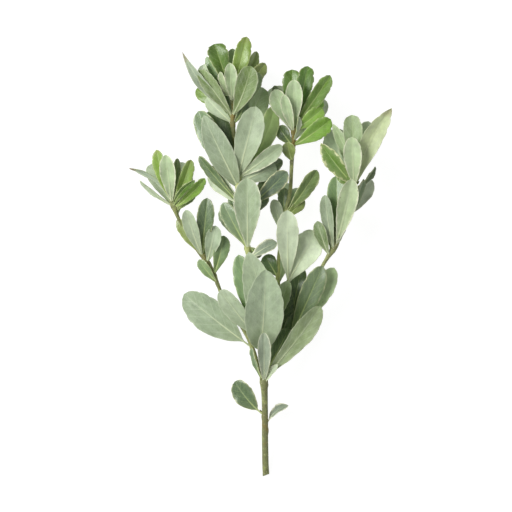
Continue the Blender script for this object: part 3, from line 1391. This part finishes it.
def thin_young_bark():
    """Bark of a one to two year old stem: matt, satin where it is still green."""
    made, tree, shader = new_material("thin_young_bark")
    place = add(tree, "Attribute", attribute_name="on_bark").outputs["Vector"]
    marks = add(tree, "Attribute", attribute_name="bark_marks").outputs["Vector"]
    age, scar, _ = add(tree, "SeparateXYZ", {"Vector": marks}).outputs

    # How old it looks: its age, older at scars and where patches of it have dried
    patches = add(tree, "TexNoise", {"Vector": place, "Scale": per_metre(PATCH_SIZE), "Detail": 3.0})
    worn = add(tree, "MapRange", {"Value": patches.outputs[0], 1: 0.3, 2: 0.7, 3: -0.35, 4: 0.35})
    older = add(tree, "Math", {0: age, 1: worn.outputs[0]}, operation="ADD")
    older = add(tree, "Math", {0: scar, 1: 0.25, 2: older.outputs[0]}, operation="MULTIPLY_ADD")
    reading = add(tree, "MapRange", {"Value": older.outputs[0], 1: -0.3, 2: 2.2}).outputs[0]
    skin = colour_ramp(tree, reading, BARK_AGES)

    # Fine lines, darker and lighter
    stretch = (per_metre(LINE_WIDTH), per_metre(LINE_LENGTH), 1.0)
    drawn = add(tree, "VectorMath", {0: place, 1: stretch}, operation="MULTIPLY").outputs[0]
    grain = add(tree, "TexNoise", {"Vector": drawn, "Scale": 1.0, "Detail": 4.0, "Roughness": 0.6}).outputs[0]
    shade = add(tree, "MapRange", {"Value": grain, 1: 0.3, 2: 0.7, 3: 0.62, 4: 1.2})
    skin = add(tree, "HueSaturation", {"Value": shade.outputs[0], "Color": skin}).outputs[0]

    # Lenticels: pale dots 0.5 mm across, a little longer along the stem
    spread = add(tree, "VectorMath", {0: place, 1: (1.0, 0.6, 1.0)}, operation="MULTIPLY").outputs[0]
    dots = add(tree, "TexVoronoi", {"Vector": spread, "Scale": per_metre(PORE_PITCH)}).outputs[0]
    dots = add(tree, "MapRange", {"Value": dots, 1: 0.1, 2: 0.2, 3: 0.7, 4: 0.0}).outputs[0]
    skin = add(tree, "Mix", {0: dots, 6: skin, 7: linear(PORE_COLOUR)}, data_type="RGBA").outputs[2]
    tree.links.new(skin, shader.inputs["Base Color"])

    rough = add(tree, "MapRange", {"Value": reading, 3: 0.42, 4: 0.8})
    tree.links.new(rough.outputs[0], shader.inputs["Roughness"])
    height = add(tree, "Math", {0: dots, 1: 0.8, 2: grain}, operation="MULTIPLY_ADD")
    bump = add(tree, "Bump", {"Height": height.outputs[0], "Distance": BARK_RELIEF * MM})
    tree.links.new(bump.outputs[0], shader.inputs["Normal"])
    return made


bark = thin_young_bark()
print("bark from young to old", [code for _, code in BARK_AGES])

# %% [markdown]
# ## The cut face
#
# Freshly cut wood is pale and damp, with a darker pith in its middle and a green ring just under the bark.
# These are circles about the stem's axis, so a ramp over the distance from the axis gives them all.

# %% Cut wood
WOOD_PORE = 0.3
CUT_RINGS = ((0.0, "#a58f5e"), (0.16, "#b8a877"), (0.24, "#dcd6ae"), (0.78, "#d3cf9e"), (0.86, "#9fae5c"))


def cut_wood():
    """Rings of colour over the distance from the stem's axis, with the fine pores of the wood."""
    made, tree, shader = new_material("pale_cut_wood")
    here = add(tree, "TexCoord").outputs["Object"]
    x, _, z, radius = MAIN_WOOD[0]
    offset = add(tree, "VectorMath", {0: here, 1: (x * MM, 0.0, z * MM)}, operation="SUBTRACT").outputs[0]
    across = add(tree, "VectorMath", {0: offset, 1: (1.0, 0.0, 1.0)}, operation="MULTIPLY").outputs[0]
    distance = add(tree, "VectorMath", {0: across}, operation="LENGTH").outputs["Value"]
    reading = add(tree, "MapRange", {"Value": distance, 2: radius * MM}).outputs[0]
    rings = colour_ramp(tree, reading, CUT_RINGS)
    pores = add(tree, "TexNoise", {"Vector": here, "Scale": per_metre(WOOD_PORE), "Detail": 2.0})
    value = add(tree, "MapRange", {"Value": pores.outputs[0], 1: 0.3, 2: 0.7, 3: 0.85, 4: 1.1})
    face = add(tree, "HueSaturation", {"Value": value.outputs[0], "Color": rings})
    tree.links.new(face.outputs[0], shader.inputs["Base Color"])
    shader.inputs["Roughness"].default_value = 0.7
    return made


pale_cut_wood = cut_wood()
print("cut face across in mm", 2 * MAIN_WOOD[0][3])

# %% Wood in place
# The circles of each stem: the plan's line that they follow, its leaves' cushions, and whether it is pointed
WOOD_PARTS = {
    stem: [(stem, lines[stem], leaf_directions(stem), stem != "main_stem")] for stem in PLACED_LEAVES
}
WOOD_PARTS["middle_shoot"].append(("pair_twig", lines["pair_twig"], (), True))
WOOD_PARTS["main_stem"] += [("main_stem", seat_line(lines[shoot]), (), False) for shoot in SHOOTS]
for stem, parts in WOOD_PARTS.items():
    parts += [(stem, line, (), True) for line in bud_lines(stem)]
    wood = wood_object(f"{stem}_wood", parts)
    wood.data.materials.append(bark)
    wood.data.materials.append(pale_cut_wood)
    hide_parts(stem)
    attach(wood, "root")
